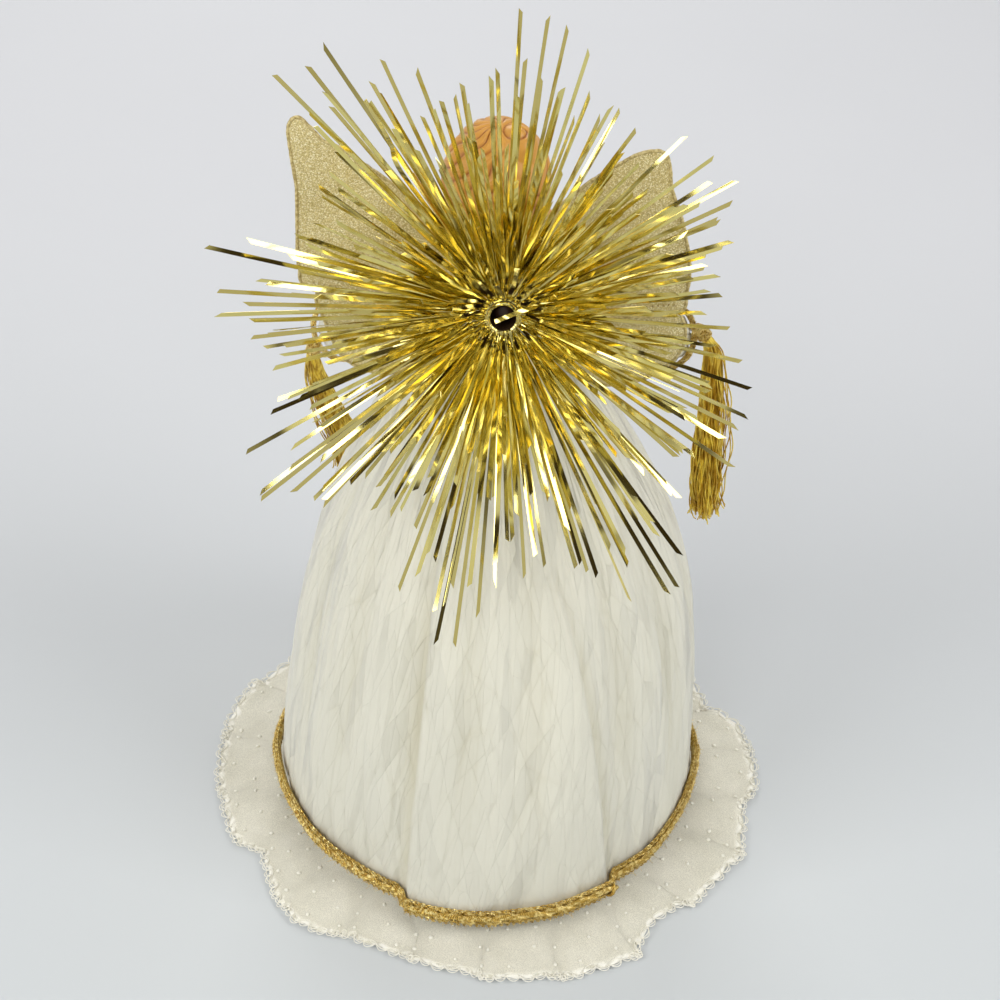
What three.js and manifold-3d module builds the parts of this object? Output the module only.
// A light-up angel for a tree top or a shelf, seen in its photograph from behind and above.
// A hollow cone stands on its rim and carries everything: the torso on its top, the head, the wired arms, the
// wings and the burst of foil strips on a stem behind the neck. A pleated gown hangs round the cone over a
// net petticoat, with a gathered lace flounce on the floor. A deck inside the cone carries the battery box.
// Millimetres, +Z up. The origin is on the floor, on the cone's axis. The angel faces -Y, and +X is its left.
import * as THREE from "three";
import { mergeVertices } from "three/addons/utils/BufferGeometryUtils.js";
import Module from "manifold-3d";

const wasm = await Module();
wasm.setup();

// Clearance between pieces that touch, what cutters overrun by, and the weld distance of equal points
const gap = 0.3;
const overrun = 2;
const weld = 1e-4;

// Gown: the bell of its profile from hem to neck, as shares of the hem's radius and of the gown's height
const hemRadius = 88;
const hemHeight = 12;
const gownTopHeight = 228;
const gownWall = 1.2;
const bellRadiusShares = [1, 0.985, 0.962, 0.926, 0.88, 0.805, 0.725, 0.61, 0.465, 0.33, 0.265];
const bellHeightShares = [0, 0.08, 0.2, 0.32, 0.43, 0.55, 0.64, 0.74, 0.85, 0.94, 1];
const foldDepth = 3.2;
const foldDegrees = 7;
const foldAzimuths = [-4, 22, 44, 66, 101, 125, 150, 174, 203, 228, 252, 279, 304, 330];
const gownLean = 3;
const gownFacets = 64;
const gownBands = 8;
const liningBands = 4;

// Petticoat: a stiff net underskirt that follows the gown down from a waistband on the torso's flange
const petticoatWall = 1;
const petticoatHem = 7;
const petticoatFacets = 32;

// Lace flounce: gathered under the petticoat's hem, and laid out on the floor with its free edge scalloped
const flounceReach = 110;
const flounceWall = 0.8;
const flounceFloor = 0.4;
const flounceWave = 2.6;
const flounceGathers = 22;
const flounceFacets = 88;
const flounceScallop = 3.5;
const flounceNotch = 9;
const flounceNotchDegrees = 5;
const flounceNotchAzimuths = [29, 66, 130, 205, 262, 318];

// Braids: gimp sewn round the hem, the neck and the cuffs
const hemBraidHeight = 5.4;
const hemBraidDepth = 3;
const neckBraidThickness = 2.4;
const cuffBraidThickness = 2.4;

// Cone: the hollow core that the tree's tip goes up into, with a foot turned in round its rim
const coneDrop = 16;
const coneTopRadius = 15;
const coneStandoff = 10;
const coneWall = 1.6;
const coneFootWidth = 6;
const coneFacets = 40;

// Deck: a disc that binds on the cone's taper and carries the battery box
const deckShare = 0.472;
const deckThickness = 2.4;
const leadHoleRadius = 2.6;

// Torso: a flanged plug in the cone's top under an oval trunk
const flangeRadius = 16;
const flangeThickness = 4;
const plugLength = 10;
const trunkWidth = 34;
const trunkDepth = 23;
const trunkHeight = 42;
const neckPitDepth = 7;

// Head and hair: a plain oval doll's head on its neck, inside a cap of moulded waves
const neckRadius = 6.5;
const neckLength = 23;
const skullWidth = 30;
const skullDepth = 32;
const skullHeight = 38;
const skullForward = 3;
const jawTaperShare = 0.2;
const hairThickness = 3.6;
const hairRollWidth = 42;
const hairRollDepth = 29;
const hairRollHeight = 19;
const hairBunRadius = 7.2;
const faceWindowWidth = 26;
const faceWindowHeight = 32;

// Bodice: the gown's upper half, a cape that slopes from the neck down over the gown's gathered top
const bodiceWall = 1.2;
const bodiceDrop = 6;
const bodiceEase = 4.5;
const bodiceHeightShares = [0.34, 0.74, 1];
const bodiceNeckShares = [0, 0.45, 1];
const bodiceFacets = 32;

// Arms: one bent wire through the torso, with a hand on each end, inside bell sleeves. Elbow and wrist are given
// as shares of the arms' reach, from the middle of the shoulders, and follow the bends in the photograph.
const armReach = 63;
const leftElbowShares = [0.72, -0.16, -0.31];
const leftWristShares = [0.9, -0.63, -0.63];
const rightElbowShares = [-0.78, -0.06, -0.25];
const rightWristShares = [-1, -0.44, -0.52];
const armWireRadius = 1.2;
const shoulderDrop = 18;
const sleeveWall = 1.2;
const sleeveShoulderRadius = 7.4;
const sleeveCuffRadius = 12.5;
const sleeveFacets = 14;
const handLength = 24;
const handReach = 9;
const wristRadius = 2.9;
const palmWidth = 8;
const armForward = 4;

// Tassels: a bound head looped on the outside of each cuff, and a bundle of metallic threads that bends down along
// points given as shares of the tassel's length from its root
const tasselLength = 90;
const leftTasselShares = [[-0.01, -0.06, -0.13], [-0.06, -0.16, -0.38], [-0.1, -0.24, -0.62], [-0.12, -0.31, -0.86]];
const rightTasselShares = [[-0.08, -0.01, -0.09], [-0.11, -0.02, -0.31], [-0.12, -0.03, -0.64], [-0.12, -0.04, -0.98]];
const leftLoopShares = [1, 0, -0.5];
const rightLoopShares = [-1, 0, 0.3];
const tasselNeckRadius = 1.1;
const tasselHeadRadius = 3.7;
const tasselHeadLength = 11;
const tasselEndRadius = 7;
const tasselFlutes = 8;
const tasselFluteShare = 0.1;

// Wings: glitter net over a wire edge, in an upper and a lower lobe, on a bridge behind the shoulders
const wingReach = 67;
const wingRise = 60;
const wingNetThickness = 0.8;
const wingWireRadius = 0.8;
const wingPlane = 22;
const wingSweep = THREE.MathUtils.degToRad(2);
const wingLean = THREE.MathUtils.degToRad(8);
const wingRaiseLeft = THREE.MathUtils.degToRad(4);
const wingRaiseRight = THREE.MathUtils.degToRad(-1);
const bridgeWidth = 14;
const bridgeThickness = 3;
const bridgeTall = 14;
const leftUpperShares = [
  [0.2, 0.3], [0.36, 0.44], [0.53, 0.58], [0.67, 0.68], [0.79, 0.765], [0.88, 0.8], [0.95, 0.875], [1.01, 0.92],
  [1.05, 0.86], [1.03, 0.7], [1, 0.52], [0.99, 0.28], [0.975, 0.07], [0.92, -0.06], [0.6, -0.1], [0.3, -0.05],
];
const leftLowerShares = [
  [0.45, 0.02], [0.8, 0], [0.885, -0.12], [0.84, -0.25], [0.8, -0.37], [0.73, -0.49], [0.61, -0.56], [0.47, -0.56],
  [0.34, -0.44],
];
const rightUpperShares = [
  [0.16, 0.3], [0.26, 0.47], [0.39, 0.62], [0.49, 0.71], [0.58, 0.78], [0.67, 0.84], [0.77, 0.86], [0.815, 0.8],
  [0.84, 0.65], [0.89, 0.51], [0.93, 0.36], [0.96, 0.2], [0.955, 0.05], [0.92, -0.07], [0.6, -0.12], [0.3, -0.05],
];
const rightLowerShares = [
  [0.45, 0.02], [0.85, -0.01], [0.95, -0.13], [0.97, -0.25], [0.94, -0.35], [0.88, -0.43], [0.76, -0.52],
  [0.6, -0.56], [0.45, -0.52], [0.33, -0.42],
];
const upperLobeRootShare = 0.16;
const lowerLobeRootShare = -0.06;

// Burst: foil strips in three rings round a hub tube, on a stem that tilts up behind the neck
const burstTilt = THREE.MathUtils.degToRad(18);
const hubPlane = 38;
const hubRise = 42;
const hubBoreRadius = 4.2;
const hubWall = 1.1;
const hubFloor = 1.8;
const ringWall = 2;
const ringHeight = 3.4;
const stripLength = 108;
const stripShortShare = 0.68;
const stripTipWidth = 1.6;
const stripThickness = 0.36;
const stripSlant = 2;
const stripRings = [
  { elevations: [4, 11, 18], strips: 40, reachShare: 1 },
  { elevations: [26, 34, 42], strips: 36, reachShare: 0.93 },
  { elevations: [50, 59, 69], strips: 24, reachShare: 0.7 },
];
const burstReachShares = [
  0.87, 0.72, 0.73, 0.88, 0.88, 0.76, 0.72, 0.87, 1, 0.86, 0.78, 0.82, 0.96, 0.86, 0.78, 0.82, 0.79, 0.72,
  0.67, 0.65, 0.72, 0.81, 0.79, 0.74, 0.71, 0.85, 0.93, 0.82, 0.72, 0.82, 0.95, 1, 0.8, 0.75, 0.8, 0.91,
];
const stemRadius = 2.2;
const stemBoreRadius = 1.2;
const stemSeat = 6;
const leadRadius = 0.6;

// Battery box: two cells side by side behind a sliding cover, over a bay with the switch
const cellRadius = 7.25;
const cellLength = 49.5;
const cellNubRadius = 2.7;
const cellNubLength = 1;
const boxWall = 1.6;
const boxTopWall = 6;
const boxSetback = 30;
const springLength = 4.3;
const springRadius = 4.6;
const contactThickness = 0.5;
const coverThickness = 1.4;
const coverLip = 2;
const coverGripHeight = 0.8;
const switchBayHeight = 9;
const switchWidth = 16;
const switchDepth = 8;
const sliderWidth = 4;
const sliderDepth = 3;
const sliderStickOut = 2.2;
const sliderHeadHeight = 2;
const sliderTravel = 5;
const screwRadius = 1.2;
const screwHeadRadius = 2.4;
const screwHeadHeight = 1.4;
const screwLength = 7;
const screwSpacing = 22;

// Lamps: small bulbs pushed through the cone's wall, on a ring of wire, and one in the burst's hub
const lampHeight = 140;
const lampRadius = 2.4;
const lampFlangeRadius = 3.6;
const lampFlangeThickness = 1.2;
const lampTailLength = 3;
const lampBulbLength = 7;
const lampAzimuths = [45, 135, 225, 315];
const hubLampRadius = 3.4;
const hubLampLength = 5;

const satin = new THREE.MeshStandardMaterial({ color: 0xe6e2cf, roughness: 0.6, metalness: 0 });
const net = new THREE.MeshStandardMaterial({ color: 0xe9e5d8, roughness: 0.9, metalness: 0 });
const lace = new THREE.MeshStandardMaterial({ color: 0xe4dfcd, roughness: 0.9, metalness: 0 });
const braid = new THREE.MeshStandardMaterial({ color: 0xb48a3c, roughness: 0.45, metalness: 0.6 });
const foil = new THREE.MeshStandardMaterial({ color: 0xc9a83a, roughness: 0.15, metalness: 1 });
const glitter = new THREE.MeshStandardMaterial({ color: 0xb9a76a, roughness: 0.5, metalness: 0.5 });
const thread = new THREE.MeshStandardMaterial({ color: 0xa9782a, roughness: 0.4, metalness: 0.6 });
const doll = new THREE.MeshStandardMaterial({ color: 0xe8bfa2, roughness: 0.5, metalness: 0 });
const moulded = new THREE.MeshStandardMaterial({ color: 0xc48a3a, roughness: 0.5, metalness: 0 });
const board = new THREE.MeshStandardMaterial({ color: 0xece8dc, roughness: 0.7, metalness: 0 });
const plastic = new THREE.MeshStandardMaterial({ color: 0xf1efe8, roughness: 0.5, metalness: 0 });
const black = new THREE.MeshStandardMaterial({ color: 0x1c1c1c, roughness: 0.5, metalness: 0 });
const steel = new THREE.MeshStandardMaterial({ color: 0xb8b8ba, roughness: 0.3, metalness: 1 });
const wireCoat = new THREE.MeshStandardMaterial({ color: 0xdfe4d8, roughness: 0.6, metalness: 0 });
const bulb = new THREE.MeshStandardMaterial({ color: 0xfff2cc, roughness: 0.1, metalness: 0 });
const cellJacket = new THREE.MeshStandardMaterial({ color: 0x4a4e55, roughness: 0.35, metalness: 0.4 });

const angel = new THREE.Group();

function add(name, geometry, material, parent = angel) {
  const mesh = new THREE.Mesh(geometry, material);
  mesh.name = name;
  parent.add(mesh);
  return mesh;
}

// A geometry with only its corner points, shared between its faces, and those faces turned outwards.
function closed(geometry) {
  const bare = geometry.clone();
  bare.deleteAttribute("normal");
  bare.deleteAttribute("uv");
  const merged = mergeVertices(bare, weld);
  const index = merged.index.array;
  const corner = (i) => new THREE.Vector3().fromBufferAttribute(merged.attributes.position, index[i]);
  let volume = 0;
  for (let i = 0; i < index.length; i += 3) volume += corner(i).dot(corner(i + 1).cross(corner(i + 2)));
  if (volume < 0) for (let i = 0; i < index.length; i += 3) [index[i], index[i + 1]] = [index[i + 1], index[i]];
  return merged;
}

function solid(geometry) {
  const { attributes, index } = closed(geometry);
  const mesh = { numProp: 3, vertProperties: attributes.position.array, triVerts: new Uint32Array(index.array) };
  return new wasm.Manifold(new wasm.Mesh(mesh));
}

function geometryOf(manifold) {
  const mesh = manifold.getMesh();
  const points = new Float32Array(mesh.numVert * 3);
  for (let i = 0; i < mesh.numVert; i++) {
    points.set(mesh.vertProperties.subarray(i * mesh.numProp, i * mesh.numProp + 3), i * 3);
  }
  const geometry = new THREE.BufferGeometry();
  geometry.setAttribute("position", new THREE.BufferAttribute(points, 3));
  geometry.setIndex(new THREE.BufferAttribute(new Uint32Array(mesh.triVerts), 1));
  return geometry;
}

function cut(body, ...cutters) {
  let left = solid(body);
  for (const cutter of cutters) left = left.subtract(solid(cutter));
  return geometryOf(left);
}

function joined(first, ...others) {
  let whole = solid(first);
  for (const other of others) whole = whole.add(solid(other));
  return geometryOf(whole);
}

// A profile of [radius, height] pairs turned about Z.
function turned(profile, facets) {
  const points = profile.map(([r, z]) => new THREE.Vector2(r, z));
  return new THREE.LatheGeometry(points, facets).rotateX(Math.PI / 2);
}

function pin(radius, bottom, top, facets = 20) {
  return turned([[0, bottom], [radius, bottom], [radius, top], [0, top]], facets);
}

// A block from its lowest to its highest corner.
function block(low, high) {
  const size = high.map((value, i) => value - low[i]);
  const middle = high.map((value, i) => (value + low[i]) / 2);
  return new THREE.BoxGeometry(...size).translate(...middle);
}

function oval(width, depth, height, x, y, z, around = 16, rows = 10) {
  const ball = new THREE.SphereGeometry(1, around, rows).rotateX(Math.PI / 2);
  return ball.scale(width / 2, depth / 2, height / 2).translate(x, y, z);
}

// A skin over rings of points, all of one count: the last ring joins the first, or a flat face closes each end.
function skin(rings, looped) {
  const count = rings[0].length;
  const points = rings.flat();
  const faces = [];
  const bands = looped ? rings.length : rings.length - 1;
  for (let r = 0; r < bands; r++) {
    const here = r * count;
    const next = ((r + 1) % rings.length) * count;
    for (let i = 0; i < count; i++) {
      const j = (i + 1) % count;
      faces.push(here + i, here + j, next + j, here + i, next + j, next + i);
    }
  }
  if (!looped) {
    const last = (rings.length - 1) * count;
    for (const [start, turn] of [[0, 1], [last, 0]]) {
      if (count === 3) {
        faces.push(start, start + 1 + turn, start + 2 - turn);
        continue;
      }
      const middle = new THREE.Vector3();
      for (let i = 0; i < count; i++) middle.addScaledVector(points[start + i], 1 / count);
      points.push(middle);
      for (let i = 0; i < count; i++) {
        const pair = [start + i, start + ((i + 1) % count)];
        faces.push(pair[turn], pair[1 - turn], points.length - 1);
      }
    }
  }
  const geometry = new THREE.BufferGeometry().setFromPoints(points);
  geometry.setIndex(faces);
  return closed(geometry);
}

// Rings square to a stretch of a curve, their first points on the side that faces a fixed direction.
function ringsAlong(curve, facing, radiusAt, sides, steps, { from = 0, to = 1, shapeAt = () => 1 } = {}) {
  return Array.from({ length: steps + 1 }, (_, k) => {
    const share = from + ((to - from) * k) / steps;
    const centre = curve.getPointAt(share);
    const tangent = curve.getTangentAt(share);
    const normal = facing.clone().addScaledVector(tangent, -facing.dot(tangent)).normalize();
    const binormal = tangent.clone().cross(normal);
    return Array.from({ length: sides }, (__, i) => {
      const turn = (i / sides) * 2 * Math.PI;
      const r = radiusAt(k / steps) * shapeAt(i);
      const point = centre.clone().addScaledVector(normal, r * Math.cos(turn));
      return point.addScaledVector(binormal, r * Math.sin(turn));
    });
  });
}

// A round rod bent along a curve.
function rod(curve, radius, sides, steps) {
  const section = new THREE.Shape(
    Array.from({ length: sides }, (_, i) => {
      const turn = (i / sides) * 2 * Math.PI;
      return new THREE.Vector2(radius * Math.cos(turn), radius * Math.sin(turn));
    }),
  );
  return new THREE.ExtrudeGeometry(section, { extrudePath: curve, steps, bevelEnabled: false });
}

// Lays a solid turned about Z along a direction, with its own origin at a place.
function aimed(geometry, place, direction) {
  const turn = new THREE.Quaternion().setFromUnitVectors(new THREE.Vector3(0, 0, 1), direction);
  return geometry.applyQuaternion(turn).translate(place.x, place.y, place.z);
}

const around = (count) => Array.from({ length: count }, (_, i) => (i / count) * 2 * Math.PI);

function degreesApart(azimuth, degrees) {
  const turn = THREE.MathUtils.euclideanModulo(THREE.MathUtils.radToDeg(azimuth) - degrees + 180, 360);
  return Math.abs(turn - 180);
}

function dips(azimuth, places, halfWidth) {
  return places.reduce((sum, place) => sum + Math.exp(-((degreesApart(azimuth, place) / halfWidth) ** 2)), 0);
}

// The gown's bell: its outer radius and height at a share of the way up, and a point on it moved inwards.
const gownHeight = gownTopHeight - hemHeight;
const bell = new THREE.SplineCurve(
  bellRadiusShares.map((share, i) => new THREE.Vector2(share * hemRadius, hemHeight + bellHeightShares[i] * gownHeight)),
);

function bellPoint(share, inwards) {
  const tangent = bell.getTangent(share);
  return bell.getPoint(share).add(new THREE.Vector2(-tangent.y, tangent.x).multiplyScalar(inwards));
}

const leanAt = (height) => -gownLean * Math.sin(Math.PI * THREE.MathUtils.clamp(height / gownTopHeight, 0, 1)) ** 2;

// A point of the pleated gown: long dips run from the hem and die out at the top.
function gownPoint(azimuth, share, inwards) {
  const at = bellPoint(share, inwards);
  const dip = foldDepth * (1 - share ** 2) * dips(azimuth, foldAzimuths, foldDegrees);
  const r = at.x - dip;
  return new THREE.Vector3(r * Math.cos(azimuth) + leanAt(at.y), r * Math.sin(azimuth), at.y);
}

function makeGown() {
  const azimuths = around(gownFacets);
  const rings = [];
  for (let k = 0; k <= gownBands; k++) rings.push(azimuths.map((a) => gownPoint(a, k / gownBands, 0)));
  for (let k = liningBands; k >= 0; k--) rings.push(azimuths.map((a) => gownPoint(a, k / liningBands, gownWall)));
  add("gown", skin(rings, true), satin);
}

function makeHemBraid() {
  const rings = around(gownFacets).map((azimuth) => {
    const foot = gownPoint(azimuth, 0, 0);
    const out = new THREE.Vector3(Math.cos(azimuth), Math.sin(azimuth), 0);
    const middle = foot.addScaledVector(out, gap + hemBraidDepth / 2);
    middle.z += hemBraidHeight / 2;
    return around(4).map((turn) => {
      const point = middle.clone().addScaledVector(out, (Math.cos(turn) * hemBraidDepth) / 2);
      point.z += (Math.sin(turn) * hemBraidHeight) / 2;
      return point;
    });
  });
  add("hem_braid", skin(rings, true), braid);
}

// The petticoat keeps clear of the gown's deepest dips, and its waistband sits round the torso's flange.
const petticoatInset = gownWall + foldDepth + gap;
const petticoatHemRadius = bellPoint(0, petticoatInset).x;

function makePetticoat() {
  const waist = flangeRadius + gap;
  const flangeFoot = coneHeight + gap;
  const ringAt = (r, z) => around(petticoatFacets).map(
    (a) => new THREE.Vector3(r * Math.cos(a) + leanAt(z), r * Math.sin(a), z),
  );
  const waistRing = (r, z) => around(petticoatFacets).map((a) => new THREE.Vector3(r * Math.cos(a), r * Math.sin(a), z));
  const side = (inset) => Array.from({ length: liningBands }, (_, k) => {
    const at = bellPoint(k / liningBands, inset);
    return ringAt(at.x, k ? at.y : petticoatHem);
  });
  const rings = [
    ...side(petticoatInset),
    waistRing(waist + petticoatWall, flangeFoot + flangeThickness),
    waistRing(waist, flangeFoot + flangeThickness),
    waistRing(waist, flangeFoot),
    ...side(petticoatInset + petticoatWall).reverse(),
  ];
  add("petticoat", skin(rings, true), net);
}

// The flounce's free edge: its reach rounds off in scallops, with a few deep notches where a fold tucks under.
function flouncePoint(azimuth, share, lift) {
  const inner = petticoatHemRadius - petticoatWall;
  const edge = flounceReach + flounceScallop * Math.cos(azimuth * 7 + 1) * Math.cos(azimuth * 2);
  const notch = flounceNotch * dips(azimuth, flounceNotchAzimuths, flounceNotchDegrees);
  const r = inner + (edge - notch - inner) * share;
  const top = petticoatHem - gap - flounceWall - flounceFloor;
  const fall = top * (1 - share) ** 2;
  const wave = flounceWave * Math.sin(Math.PI * Math.min(share, 0.8)) * (1 + Math.cos(azimuth * flounceGathers)) / 2;
  return new THREE.Vector3(r * Math.cos(azimuth), r * Math.sin(azimuth), flounceFloor + fall + wave + lift);
}

function makeFlounce() {
  const shares = [0, 0.35, 0.7, 1];
  const azimuths = around(flounceFacets);
  const sheet = (lift) => shares.map((share) => azimuths.map((a) => flouncePoint(a, share, lift)));
  add("lace_flounce", skin([...sheet(0), ...sheet(flounceWall).reverse()], true), lace);
}

// The cone stops short of the gown's top. Its outer and inner radius at a height:
const coneHeight = gownTopHeight - coneDrop;
const coneBaseRadius = hemRadius - coneStandoff;
const coneRadiusAt = (z) => coneBaseRadius + ((coneTopRadius - coneBaseRadius) * z) / coneHeight;
const coneBoreAt = (z) => coneRadiusAt(z) - coneWall;

// A lamp stands square to the cone's wall, with its tail inside.
function lampPlace(degrees) {
  const azimuth = THREE.MathUtils.degToRad(degrees);
  const slope = Math.atan2(coneBaseRadius - coneTopRadius, coneHeight);
  const flat = new THREE.Vector3(Math.cos(azimuth), Math.sin(azimuth), 0);
  const direction = flat.clone().multiplyScalar(Math.cos(slope)).setZ(Math.sin(slope));
  const place = flat.multiplyScalar(coneRadiusAt(lampHeight) * Math.cos(Math.PI / coneFacets)).setZ(lampHeight);
  return { place, direction };
}

function makeCone() {
  const profile = [
    [coneBaseRadius - coneFootWidth, 0],
    [coneBaseRadius, 0],
    [coneTopRadius, coneHeight],
    [coneTopRadius - coneWall, coneHeight],
    [coneBoreAt(coneWall), coneWall],
    [coneBaseRadius - coneFootWidth, coneWall],
    [coneBaseRadius - coneFootWidth, 0],
  ];
  const holes = lampAzimuths.map((degrees) => {
    const { place, direction } = lampPlace(degrees);
    const reach = coneWall + overrun;
    return aimed(pin(lampRadius + gap, -reach, reach, 8), place, direction);
  });
  add("tree_cone", cut(turned(profile, coneFacets), ...holes), board);
}

function makeLamps() {
  const tail = coneWall + 2 * gap + lampFlangeThickness;
  lampAzimuths.forEach((degrees, i) => {
    const { place, direction } = lampPlace(degrees);
    const inner = -coneWall - 2 * gap;
    const profile = [
      [0, -tail - lampTailLength],
      [lampRadius, -tail - lampTailLength],
      [lampRadius, -tail],
      [lampFlangeRadius, -tail],
      [lampFlangeRadius, inner],
      [lampRadius, inner],
      [lampRadius, lampBulbLength - lampRadius],
      [lampRadius * Math.SQRT1_2, lampBulbLength - lampRadius * (1 - Math.SQRT1_2)],
      [0, lampBulbLength],
    ];
    add(`lamp_${i + 1}`, aimed(turned(profile, 8), place, direction), bulb);
  });
  const { place, direction } = lampPlace(lampAzimuths[0]);
  const back = place.addScaledVector(direction, -tail - lampTailLength);
  const r = Math.hypot(back.x, back.y) - gap - 2 * leadRadius;
  const rings = around(24).map((azimuth) => around(4).map((turn) => {
    const reach = r + leadRadius * Math.cos(turn);
    return new THREE.Vector3(reach * Math.cos(azimuth), reach * Math.sin(azimuth), back.z + leadRadius * Math.sin(turn));
  }));
  add("lamp_lead_ring", skin(rings, true), wireCoat);
  return { ringRadius: r, ringHeight: back.z };
}

// The burst stands on a line through the torso: its hub's place, its axis, and points along that line.
const hubHeight = coneHeight + hubRise;
const burstAxis = new THREE.Vector3(0, Math.cos(burstTilt), Math.sin(burstTilt));
const hubPlace = new THREE.Vector3(0, hubPlane, hubHeight);
const onStem = (y) => hubPlace.clone().addScaledVector(burstAxis, (y - hubPlane) / Math.cos(burstTilt));
const trunkMiddle = coneHeight + gap + flangeThickness + trunkHeight / 2 - overrun;
const trunkTop = trunkMiddle + trunkHeight / 2;
const trunkBack = trunkDepth / 2;
const stemStart = onStem(trunkBack - stemSeat);
const stemEnd = hubPlace.clone().addScaledVector(burstAxis, -hubFloor - gap);

// The burst's lead rises inside the torso, then bends into the stem's bore and runs up to the hub's lamp.
function burstLeadCurve(bottom) {
  const bend = hubPlace.clone().addScaledVector(burstAxis, -stemStart.distanceTo(hubPlace) - stemSeat / 4);
  const leg = stemSeat;
  const corner = bend.clone().addScaledVector(burstAxis, -leg);
  const foot = corner.clone().setZ(corner.z - leg);
  const path = new THREE.CurvePath();
  path.add(new THREE.LineCurve3(corner.clone().setZ(bottom), foot));
  path.add(new THREE.QuadraticBezierCurve3(foot, corner, bend));
  path.add(new THREE.LineCurve3(bend, hubPlace));
  return path;
}

// One wire makes both arms: from the left wrist over the elbow and shoulder, and on to the right wrist.
const shoulderHeight = trunkTop - shoulderDrop;
const shoulderMiddle = new THREE.Vector3(0, 0, shoulderHeight);
const arms = {
  left: {
    side: 1,
    elbow: leftElbowShares,
    wrist: leftWristShares,
    tassel: leftTasselShares,
    loop: leftLoopShares,
  },
  right: {
    side: -1,
    elbow: rightElbowShares,
    wrist: rightWristShares,
    tassel: rightTasselShares,
    loop: rightLoopShares,
  },
};

const alongArm = (shares) => new THREE.Vector3(...shares).multiplyScalar(armReach).add(shoulderMiddle);
const elbowOf = (arm) => alongArm(arm.elbow);
const wristOf = (arm) => alongArm(arm.wrist);
const shoulderOf = (arm) => new THREE.Vector3((arm.side * trunkWidth) / 2, -armForward, shoulderHeight);
const forearmOf = (arm) => wristOf(arm).sub(elbowOf(arm)).normalize();
const wireEndOf = (arm) => wristOf(arm).addScaledVector(forearmOf(arm), handReach - handLength);

const armWireCurve = new THREE.CatmullRomCurve3([
  wireEndOf(arms.left),
  elbowOf(arms.left),
  shoulderOf(arms.left),
  new THREE.Vector3(0, -armForward, shoulderHeight),
  shoulderOf(arms.right),
  elbowOf(arms.right),
  wireEndOf(arms.right),
]);

const armBore = () => rod(armWireCurve, armWireRadius + gap, 5, 32);
const stemLength = stemStart.distanceTo(stemEnd);
const stemBore = () => aimed(pin(stemRadius + gap, -gap, stemLength), stemStart.clone(), burstAxis);

function makeTorso() {
  const plugRadius = coneTopRadius - coneWall - gap;
  const flange = turned([
    [0, coneHeight - plugLength],
    [plugRadius, coneHeight - plugLength],
    [plugRadius, coneHeight + gap],
    [flangeRadius, coneHeight + gap],
    [flangeRadius, coneHeight + gap + flangeThickness],
    [0, coneHeight + gap + flangeThickness],
  ], 32);
  const pit = pin(neckRadius + gap, trunkTop - neckPitDepth - gap, trunkTop + overrun);
  const trunk = oval(trunkWidth, trunkDepth, trunkHeight, 0, 0, trunkMiddle, 20, 8);
  const leadHole = rod(burstLeadCurve(coneHeight - plugLength - overrun), leadRadius + gap, 5, 20);
  add("torso", cut(joined(flange, trunk), pit, stemBore(), armBore(), leadHole), plastic);
}

// The head: a long oval that narrows to the chin, on a neck that plugs into the torso.
const neckFoot = trunkTop - neckPitDepth;
const skullMiddle = neckFoot + neckLength + skullHeight * 0.36;

function skull(clear) {
  const shape = oval(
    skullWidth + 2 * clear, skullDepth + 2 * clear, skullHeight + 2 * clear, 0, -skullForward, skullMiddle, 18, 10,
  );
  const at = shape.attributes.position;
  for (let i = 0; i < at.count; i++) {
    const below = Math.max(0, (skullMiddle - at.getZ(i)) / (skullHeight / 2));
    at.setX(i, at.getX(i) * (1 - jawTaperShare * below ** 2));
  }
  return shape;
}

function makeHead() {
  add("head", joined(skull(0), pin(neckRadius, neckFoot, skullMiddle)), doll);
  const rollMiddle = skullMiddle - skullHeight * 0.44;
  const cap = oval(
    skullWidth + 2 * hairThickness,
    skullDepth + 2 * hairThickness,
    skullHeight + 2 * hairThickness,
    0, -skullForward, skullMiddle, 18, 10,
  );
  const roll = oval(hairRollWidth, hairRollDepth, hairRollHeight, 0, skullForward, rollMiddle, 18, 6);
  const bunPlace = [-hairBunRadius, skullForward, skullMiddle + skullHeight * 0.38];
  const bun = oval(2 * hairBunRadius, 2 * hairBunRadius, 2 * hairBunRadius, ...bunPlace, 10, 6);
  const window = oval(
    faceWindowWidth, skullDepth, faceWindowHeight, 0, -skullDepth * 0.62, skullMiddle - skullHeight * 0.1, 12, 8,
  );
  const underJaw = block(
    [-hairRollWidth, -hairRollDepth, rollMiddle - hairRollHeight],
    [hairRollWidth, -skullForward, skullMiddle - skullHeight * 0.3],
  );
  const neckHole = pin(neckRadius + gap, neckFoot - hairRollHeight, skullMiddle);
  add("hair", cut(joined(cap, roll, bun), skull(gap), window, underJaw, neckHole), moulded);
}

const bodiceFoot = gownTopHeight - bodiceDrop;
const bodiceTop = trunkTop + gap;

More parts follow.
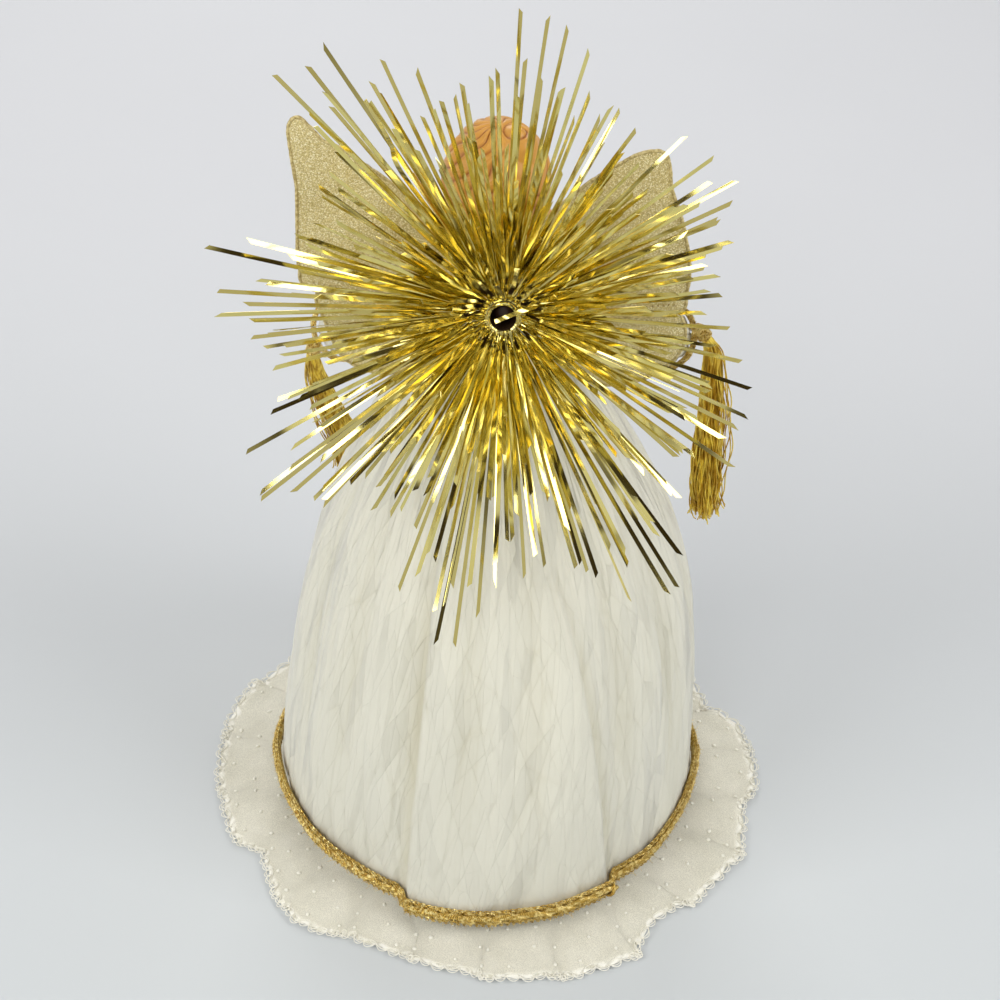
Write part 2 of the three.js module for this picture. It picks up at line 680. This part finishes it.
// The bodice's rings: two round the gown's top, then ovals that slope over the shoulders and in to the neck.
function bodiceRings(inset) {
  const lastBand = bellPoint(1 - 1 / gownBands, 0);
  const top = bellPoint(1, 0);
  const gownRadiusAt = (z) => THREE.MathUtils.mapLinear(z, lastBand.y, top.y, lastBand.x, top.x);
  const oval = (wide, deep, z) => around(bodiceFacets).map(
    (a) => new THREE.Vector3((wide - inset) * Math.cos(a), (deep - inset) * Math.sin(a), z),
  );
  const rim = gownTopHeight + gap;
  const skirt = [bodiceFoot, rim].map((z) => {
    const r = gownRadiusAt(z) + 2 * gap + bodiceWall;
    return oval(r, r, z);
  });
  const neck = neckRadius + gap + bodiceWall;
  const yoke = bodiceHeightShares.map((share, i) => {
    const size = (trunkHalf) => THREE.MathUtils.lerp(trunkHalf + bodiceEase, neck, bodiceNeckShares[i]);
    return oval(size(trunkWidth / 2), size(trunkDepth / 2), THREE.MathUtils.lerp(rim, bodiceTop, share));
  });
  return [...skirt, ...yoke];
}

function makeBodice() {
  const lining = bodiceRings(bodiceWall);
  lining.at(-1).forEach((point) => point.setZ(bodiceTop - bodiceWall));
  add("bodice", cut(skin([...bodiceRings(0), ...lining.reverse()], true), armBore(), stemBore()), satin);
  const braidRadius = neckRadius + gap + neckBraidThickness / 2;
  const neckBraid = new THREE.TorusGeometry(braidRadius, neckBraidThickness / 2, 5, 18);
  add("neck_braid", closed(neckBraid.translate(0, 0, bodiceTop + gap + neckBraidThickness / 2)), braid);
}

// A sleeve: a bell from the bodice's side to the cuff, cut back from the bodice by the touching gap.
function makeArm(name, arm) {
  const sleeveStart = shoulderOf(arm);
  sleeveStart.y = 0;
  const cuff = wristOf(arm);
  const forearm = forearmOf(arm);
  const path = new THREE.CatmullRomCurve3([
    sleeveStart,
    elbowOf(arm),
    cuff.clone().addScaledVector(forearm, -cuffBraidThickness * 3),
    cuff,
  ]);
  const swell = (share) => THREE.MathUtils.smoothstep(share, 0, 0.75);
  const radiusAt = (share) => sleeveShoulderRadius + (sleeveCuffRadius - sleeveShoulderRadius) * swell(share);
  const upwards = new THREE.Vector3(0, 0, 1);
  const outer = ringsAlong(path, upwards, radiusAt, sleeveFacets, 6);
  const inner = ringsAlong(path, upwards, (share) => radiusAt(share) - sleeveWall, sleeveFacets, 6).reverse();
  const clearance = skin(bodiceRings(-gap), false);
  add(`sleeve_${name}`, cut(skin([...outer, ...inner], true), clearance), satin);

  const braidRadius = sleeveCuffRadius + gap + cuffBraidThickness / 2;
  const ring = new THREE.TorusGeometry(braidRadius, cuffBraidThickness / 2, 5, 16);
  const ringPlace = cuff.clone().addScaledVector(forearm, -cuffBraidThickness / 2);
  add(`cuff_braid_${name}`, closed(aimed(ring, ringPlace, forearm)), braid);

  const start = wireEndOf(arm).addScaledVector(forearm, gap);
  const reach = handLength - gap;
  const palm = palmWidth / 2;
  const profile = [
    [0, 0], [wristRadius, 0], [wristRadius, reach * 0.5], [palm, reach * 0.7], [palm, reach * 0.86],
    [palm * 0.6, reach * 0.97], [0, reach],
  ];
  add(`hand_${name}`, closed(aimed(turned(profile, 12), start, forearm)), doll);
}

// A tassel: it loops on the outside of the cuff braid, and its threads fan out from under the bound head.
function tasselRootOf(arm) {
  const forearm = forearmOf(arm);
  const out = new THREE.Vector3(...arm.loop).projectOnPlane(forearm).normalize();
  const ring = wristOf(arm).addScaledVector(forearm, -cuffBraidThickness / 2);
  return ring.addScaledVector(out, sleeveCuffRadius + gap + cuffBraidThickness + gap + tasselNeckRadius);
}

function makeTassel(name, arm) {
  const root = tasselRootOf(arm);
  const steps = arm.tassel.map((shares) => new THREE.Vector3(...shares).multiplyScalar(tasselLength).add(root));
  const path = new THREE.CatmullRomCurve3([root, ...steps]);
  const length = path.getLength();
  const split = tasselHeadLength / length;
  const backwards = new THREE.Vector3(0, 1, 0);
  const headRadius = (share) => THREE.MathUtils.lerp(
    tasselNeckRadius, tasselHeadRadius, Math.sin((Math.PI / 2) * Math.min(1, share * 1.6)),
  );
  const head = ringsAlong(path, backwards, headRadius, 10, 5, { to: split });
  add(`tassel_head_${name}`, skin(head, false), braid);
  const spread = (share) => THREE.MathUtils.lerp(tasselHeadRadius, tasselEndRadius, Math.sqrt(share));
  const shapeAt = (i) => (i % 2 ? 1 - tasselFluteShare : 1);
  const from = split + gap / length;
  const threads = ringsAlong(path, backwards, spread, 2 * tasselFlutes, 6, { from, shapeAt });
  add(`tassel_threads_${name}`, skin(threads, false), thread);
}

// A wing lobe: a flat net inside a wire loop that follows the net's edge at the touching gap.
function makeLobe(name, wing, side, shares, rootShare, plane) {
  const root = bridgeWidth / 2 + gap + 4 * wingWireRadius;
  const rootHalf = wingRise * 0.09;
  const corners = [
    [root, rootShare * wingRise - rootHalf],
    [root, rootShare * wingRise + rootHalf],
    ...shares.map(([x, z]) => [x * wingReach, z * wingRise]),
  ];
  const outline = new THREE.CatmullRomCurve3(
    corners.map(([x, z]) => new THREE.Vector3(side * x, 0, z)), true, "centripetal",
  );
  const steps = 30;
  const edge = Array.from({ length: steps }, (_, i) => outline.getPointAt(i / steps));
  const lobe = new THREE.Shape(edge.map((p) => new THREE.Vector2(p.x, p.z)));
  const sheet = new THREE.ExtrudeGeometry(lobe, { depth: wingNetThickness, bevelEnabled: false });
  sheet.rotateX(Math.PI / 2).translate(0, plane, 0);
  add(`wing_net_${name}`, sheet, glitter, wing);

  const turn = THREE.ShapeUtils.area(lobe.getPoints()) > 0 ? 1 : -1;
  const rings = edge.map((point, i) => {
    const tangent = outline.getTangentAt(i / steps);
    const out = new THREE.Vector3(tangent.z * turn, 0, -tangent.x * turn);
    const middle = point.clone().addScaledVector(out, 2 * gap + wingWireRadius);
    middle.y = plane - wingNetThickness / 2;
    return around(4).map((angle) => {
      const spot = middle.clone().addScaledVector(out, wingWireRadius * Math.cos(angle));
      spot.y += wingWireRadius * Math.sin(angle);
      return spot;
    });
  });
  add(`wing_wire_${name}`, skin(rings, true), steel, wing);
}

function makeWings() {
  const wings = [
    ["left", 1, wingRaiseLeft, leftUpperShares, leftLowerShares],
    ["right", -1, wingRaiseRight, rightUpperShares, rightLowerShares],
  ];
  for (const [name, side, raise, upperShares, lowerShares] of wings) {
    const wing = new THREE.Group();
    wing.position.set(0, wingPlane, hubHeight);
    wing.rotation.set(wingLean, -side * raise, side * wingSweep);
    angel.add(wing);
    makeLobe(`upper_${name}`, wing, side, upperShares, upperLobeRootShare, 0);
    const behind = -2 * wingWireRadius - gap;
    makeLobe(`lower_${name}`, wing, side, lowerShares, lowerLobeRootShare, behind);
  }
  const top = hubHeight + (upperLobeRootShare * wingRise) / 4;
  const bridge = block(
    [-bridgeWidth / 2, wingPlane - bridgeThickness, top - bridgeTall],
    [bridgeWidth / 2, wingPlane, top],
  );
  add("wing_bridge", cut(bridge, stemBore()), steel);
}

let seed = 20;
function chance() {
  seed = (seed * 16807) % 2147483647;
  return seed / 2147483647;
}

// The strips' reach at an azimuth round the hub, as a share: level stretches with smooth steps between them.
function reachAt(azimuth) {
  const count = burstReachShares.length;
  const at = THREE.MathUtils.euclideanModulo((azimuth / (2 * Math.PI)) * count, count);
  const share = THREE.MathUtils.smoothstep(at % 1, 0, 1);
  return THREE.MathUtils.lerp(burstReachShares[Math.floor(at)], burstReachShares[Math.ceil(at) % count], share);
}

// A ring whose outer wall is divided into cells, with a foil strip growing out of each cell to a flat, slanted
// tip. Strips of a row fan out evenly and each higher row leaves the hub more steeply, so no two cross.
function stripRing(bore, radius, foot, { elevations, strips, reachShare }) {
  const rows = elevations.length;
  const points = [];
  const faces = [];
  const quad = (a, b, c, d) => faces.push(a, b, c, a, c, d);
  const place = (r, turn, z) => points.push(new THREE.Vector3(r * Math.cos(turn), r * Math.sin(turn), z)) - 1;
  const turnOf = (i) => ((i - 0.5) / strips) * 2 * Math.PI;
  const wall = Array.from({ length: rows + 1 }, (_, row) => Array.from(
    { length: strips }, (__, i) => place(radius, turnOf(i), foot + (row / rows) * ringHeight),
  ));
  const inner = [foot, foot + ringHeight].map(
    (z) => Array.from({ length: strips }, (_, i) => place(bore, turnOf(i), z)),
  );
  for (let i = 0; i < strips; i++) {
    const j = (i + 1) % strips;
    quad(inner[0][i], inner[0][j], wall[0][j], wall[0][i]);
    quad(inner[1][j], inner[1][i], wall[rows][i], wall[rows][j]);
    quad(inner[0][j], inner[0][i], inner[1][i], inner[1][j]);
    for (let row = 0; row < rows; row++) {
      const azimuth = ((i + (row - 1) / 4 + (chance() - 0.5) / 4) / strips) * 2 * Math.PI;
      const slope = THREE.MathUtils.degToRad(elevations[row] + (chance() - 0.5) * 4);
      const share = stripShortShare + (1 - stripShortShare) * Math.sqrt(chance());
      const flat = new THREE.Vector3(Math.cos(azimuth), Math.sin(azimuth), 0);
      const along = flat.clone().multiplyScalar(Math.cos(slope)).setZ(Math.sin(slope));
      const across = new THREE.Vector3(-Math.sin(azimuth), Math.cos(azimuth), 0);
      const up = along.clone().cross(across);
      const root = flat.multiplyScalar(radius).setZ(foot + ((row + 0.5) / rows) * ringHeight);
      const reach = reachShare * reachAt(azimuth) * stripLength * share;
      const tip = [[-1, -1], [1, -1], [1, 1], [-1, 1]].map(([side, level]) => {
        const point = root.clone().addScaledVector(along, reach + (stripSlant * side) / 2);
        point.addScaledVector(across, (side * stripTipWidth) / 2);
        return points.push(point.addScaledVector(up, (level * stripThickness) / 2)) - 1;
      });
      const cell = [wall[row][i], wall[row][j], wall[row + 1][j], wall[row + 1][i]];
      cell.forEach((corner, k) => quad(corner, cell[(k + 1) % 4], tip[(k + 1) % 4], tip[k]));
      quad(...tip);
    }
  }
  const geometry = new THREE.BufferGeometry().setFromPoints(points);
  geometry.setIndex(faces);
  return closed(geometry);
}

function makeBurst(burst) {
  const hubRadius = hubBoreRadius + hubWall;
  const ringBore = hubRadius + gap;
  const ringRadius = ringBore + ringWall;
  const hubTop = stripRings.length * (ringHeight + gap) + ringHeight / 4;
  const hub = turned([
    [stemBoreRadius, -hubFloor],
    [hubRadius, -hubFloor],
    [hubRadius, hubTop],
    [hubBoreRadius, hubTop],
    [hubBoreRadius, 0],
    [stemBoreRadius, 0],
    [stemBoreRadius, -hubFloor],
  ], 20);
  add("burst_hub", closed(hub), foil, burst);

  stripRings.forEach((ring, k) => {
    add(`burst_strips_${k + 1}`, stripRing(ringBore, ringRadius, k * (ringHeight + gap), ring), foil, burst);
  });

  const lampFoot = gap;
  const lampDome = lampFoot + hubLampLength;
  add("burst_lamp", closed(turned([
    [0, lampFoot],
    [hubLampRadius, lampFoot],
    [hubLampRadius, lampDome - hubLampRadius / 2],
    [hubLampRadius * Math.SQRT1_2, lampDome - hubLampRadius / 6],
    [0, lampDome],
  ], 16)), bulb, burst);
}

function makeStem(lampRing) {
  const tube = turned([
    [stemBoreRadius, 0],
    [stemRadius, 0],
    [stemRadius, stemLength],
    [stemBoreRadius, stemLength],
    [stemBoreRadius, 0],
  ], 16);
  add("burst_stem", closed(aimed(tube, stemStart.clone(), burstAxis)), steel);
  add("burst_lead", rod(burstLeadCurve(lampRing.ringHeight + leadRadius), leadRadius, 5, 28), wireCoat);
}

// The deck and the battery box that hangs under it, its cover towards the cone's axis.
const deckHeight = coneHeight * deckShare;
const boxTop = deckHeight - gap;
const bayTop = boxTop - boxTopWall;
const bayHeight = cellLength + cellNubLength + springLength + 2 * contactThickness + 4 * gap;
const bayFoot = bayTop - bayHeight;
const boxFoot = bayFoot - boxWall - switchBayHeight - boxWall;
const bayWidth = 4 * cellRadius + 3 * gap;
const bayDepth = 2 * cellRadius + 2 * gap;
const channelDepth = coverThickness + 2 * gap;
const boxBack = boxSetback + bayDepth / 2 + boxWall;
const bayFront = boxSetback - bayDepth / 2;
const boxFront = bayFront - channelDepth - boxWall;
const channelWidth = bayWidth + 2 * coverLip;
const boxWidth = channelWidth + 2 * boxWall;
const screwPlaces = [-screwSpacing / 2, screwSpacing / 2];

function makeDeck() {
  const top = deckHeight + deckThickness;
  const disc = turned([
    [0, deckHeight],
    [coneBoreAt(deckHeight) - gap, deckHeight],
    [coneBoreAt(top) - gap, top],
    [0, top],
  ], coneFacets);
  const screwHole = (x) => pin(screwRadius + gap, deckHeight - overrun, top + overrun, 12).translate(x, boxSetback, 0);
  const leadHole = pin(leadHoleRadius, deckHeight - overrun, top + overrun, 12);
  add("deck", cut(disc, ...screwPlaces.map(screwHole), leadHole.translate(0, boxFront - 2 * leadHoleRadius, 0)), board);
  screwPlaces.forEach((x, i) => {
    const head = top + gap;
    const screw = turned([
      [0, head - screwLength],
      [screwRadius, head - screwLength],
      [screwRadius, head],
      [screwHeadRadius, head],
      [screwHeadRadius, head + screwHeadHeight],
      [0, head + screwHeadHeight],
    ], 12);
    add(`deck_screw_${i + 1}`, closed(screw.translate(x, boxSetback, 0)), steel);
  });
}

function makeBatteryBox() {
  const half = boxWidth / 2;
  const shell = block([-half, boxFront, boxFoot], [half, boxBack, boxTop]);
  const cellBay = block([-bayWidth / 2, bayFront - overrun / 4, bayFoot], [bayWidth / 2, boxBack - boxWall, bayTop]);
  const channel = block(
    [-channelWidth / 2, boxFront + boxWall, boxFoot - overrun],
    [channelWidth / 2, bayFront, bayTop],
  );
  const front = block(
    [-channelWidth / 2 + coverLip, boxFront - overrun, boxFoot - overrun],
    [channelWidth / 2 - coverLip, boxFront + boxWall + overrun / 4, bayTop],
  );
  const switchFoot = boxFoot + boxWall;
  const switchBay = block(
    [-bayWidth / 2, bayFront + boxWall, switchFoot],
    [bayWidth / 2, boxBack - boxWall, switchFoot + switchBayHeight],
  );
  const slot = sliderWidth + sliderTravel + 2 * gap;
  const slotDepth = sliderDepth + 2 * gap;
  const sliderSlot = block(
    [-slot / 2, boxSetback - slotDepth / 2, boxFoot - overrun],
    [slot / 2, boxSetback + slotDepth / 2, switchFoot + overrun],
  );
  const screwHoles = screwPlaces.map((x) => {
    const tip = deckHeight + deckThickness + gap - screwLength;
    return pin(screwRadius + gap, tip - gap, boxTop + overrun, 12).translate(x, boxSetback, 0);
  });
  const leadHole = pin(leadRadius + gap, bayFoot - boxWall - overrun, bayFoot + overrun, 8);
  leadHole.translate(0, boxBack - boxWall - leadRadius - 2 * gap, 0);
  add("battery_box", cut(shell, cellBay, channel, front, switchBay, sliderSlot, ...screwHoles, leadHole), black);

  const coverHalf = channelWidth / 2 - gap;
  const coverBack = bayFront - gap;
  const plate = block(
    [-coverHalf, coverBack - coverThickness, boxFoot + gap],
    [coverHalf, coverBack, bayTop - gap],
  );
  const gripHalf = coverHalf / 2;
  const grips = [1, 2, 3].map((i) => {
    const z = boxFoot + i * 3 * coverGripHeight;
    const face = coverBack - coverThickness;
    return block([-gripHalf, face - coverGripHeight, z], [gripHalf, face + coverThickness / 2, z + coverGripHeight]);
  });
  add("battery_cover", joined(plate, ...grips), black);

  const cellPlace = (side) => (side * (2 * cellRadius + gap)) / 2;
  const cellFoot = bayFoot + gap + contactThickness + springLength + gap;
  const cell = () => turned([
    [0, 0], [cellRadius, 0], [cellRadius, cellLength], [cellNubRadius, cellLength],
    [cellNubRadius, cellLength + cellNubLength], [0, cellLength + cellNubLength],
  ], 14);
  add("battery_1", closed(cell().translate(cellPlace(-1), boxSetback, cellFoot)), cellJacket);
  const flippedFoot = bayFoot + 2 * gap + contactThickness;
  const flipped = cell().rotateX(Math.PI).translate(0, 0, cellLength + cellNubLength);
  add("battery_2", closed(flipped.translate(cellPlace(1), boxSetback, flippedFoot)), cellJacket);

  const padHalf = cellRadius * 0.8;
  const spring = (foot, rise) => turned([
    [0, foot], [springRadius, foot], [springRadius / 2, foot + rise * springLength], [0, foot + rise * springLength],
  ], 12);
  const padAt = (side, z) => block(
    [cellPlace(side) - padHalf, boxSetback - padHalf, z],
    [cellPlace(side) + padHalf, boxSetback + padHalf, z + contactThickness],
  );
  const lowPad = bayFoot + gap;
  const springFoot = lowPad + contactThickness / 2;
  const lowSpring = spring(springFoot, 1 + contactThickness / (2 * springLength)).translate(cellPlace(-1), boxSetback, 0);
  add("contact_spring", joined(padAt(-1, lowPad), lowSpring), steel);
  add("contact_tab", padAt(1, lowPad), steel);
  const highPad = bayTop - gap - contactThickness;
  const link = block(
    [-2 * padHalf, boxSetback - padHalf, highPad],
    [2 * padHalf, boxSetback + padHalf, highPad + contactThickness],
  );
  const highSpring = spring(highPad + contactThickness / 2, -1 - contactThickness / (2 * springLength));
  add("contact_link", joined(link, highSpring.translate(cellPlace(1), boxSetback, 0)), steel);

  const bodyFoot = switchFoot + gap;
  const bodyTop = switchFoot + switchBayHeight - gap;
  const pocketTop = bodyFoot + sliderHeadHeight + 2 * gap;
  const body = block(
    [-switchWidth / 2, boxSetback - switchDepth / 2, bodyFoot],
    [switchWidth / 2, boxSetback + switchDepth / 2, bodyTop],
  );
  const headHalf = sliderWidth;
  const pocketHalf = headHalf + sliderTravel / 2 + gap;
  const pocketDepthHalf = sliderDepth / 2 + gap;
  const pocket = block(
    [-pocketHalf, boxSetback - pocketDepthHalf, bodyFoot - overrun],
    [pocketHalf, boxSetback + pocketDepthHalf, pocketTop],
  );
  add("switch_body", cut(body, pocket), plastic);
  const headFoot = bodyFoot + gap;
  const knob = block(
    [-sliderWidth / 2, boxSetback - sliderDepth / 2, boxFoot - sliderStickOut],
    [sliderWidth / 2, boxSetback + sliderDepth / 2, headFoot + sliderHeadHeight / 2],
  );
  const head = block(
    [-headHalf, boxSetback - sliderDepth / 2, headFoot],
    [headHalf, boxSetback + sliderDepth / 2, headFoot + sliderHeadHeight],
  );
  add("switch_slider", joined(knob, head).translate(-sliderTravel / 2, 0, 0), plastic);
}

makeGown();
makeHemBraid();
makePetticoat();
makeFlounce();
makeCone();
const lampRing = makeLamps();
makeTorso();
makeHead();
makeBodice();
add("arm_wire", rod(armWireCurve, armWireRadius, 5, 32), steel);
for (const [name, arm] of Object.entries(arms)) {
  makeArm(name, arm);
  makeTassel(name, arm);
}
makeWings();
const burst = new THREE.Group();
burst.position.copy(hubPlace);
burst.rotation.x = burstTilt - Math.PI / 2;
angel.add(burst);
makeBurst(burst);
makeStem(lampRing);
makeDeck();
makeBatteryBox();

export default angel;
